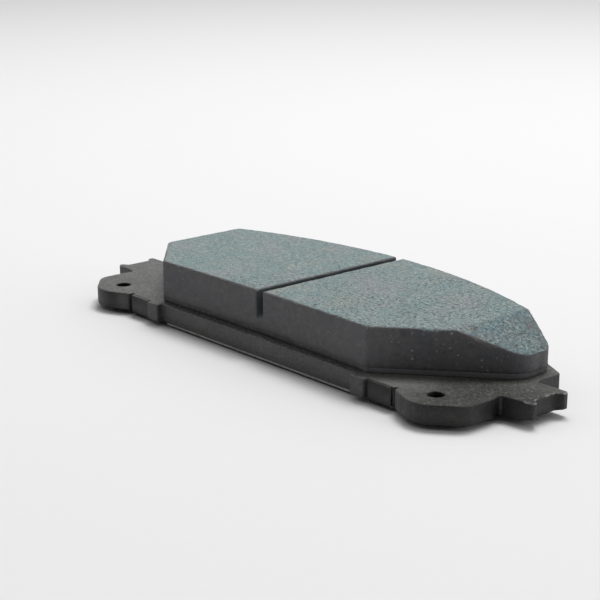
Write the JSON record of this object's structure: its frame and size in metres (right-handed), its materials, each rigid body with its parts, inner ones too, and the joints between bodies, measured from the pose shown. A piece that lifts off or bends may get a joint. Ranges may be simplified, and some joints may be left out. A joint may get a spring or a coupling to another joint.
{
  "type": "disc brake pad",
  "caption": "Disc brake pad: curved friction block with a radial slot and end chamfers on a steel backing plate with guide ears, spring lugs and a clip-on noise shim.",
  "frame": {"origin": "centre of the bounding box in plan, on the outer face of the shim, which is the face the caliper piston presses on", "axes": "+Z out of the friction face towards the rotor, +X along the pad from ear to ear, +Y away from the wheel centre towards the convex edge"},
  "size_m": [0.1604, 0.0584, 0.0175],
  "materials": {
    "plate_coating": "satin black powder coat with a fine texture on stamped steel",
    "friction_material": "ground teal-grey moulded friction compound, charcoal on its moulded sides",
    "underlayer": "dark moulded compound",
    "adhesive": "cured phenolic adhesive film",
    "shim_steel": "stainless sheet, bright cut edge, dark coated tabs",
    "damping_rubber": "matt rubber and adhesive layer",
    "shim_rubber": "matt black rubber facing"
  },
  "bodies": {
    "root": {"backing_plate": "plate_coating", "friction_block": "friction_material", "underlayer": "underlayer", "adhesive_film": "adhesive", "shim_core": "shim_steel", "shim_damping_layer": "damping_rubber", "shim_face_coat": "shim_rubber"}
  },
  "joints": []
}
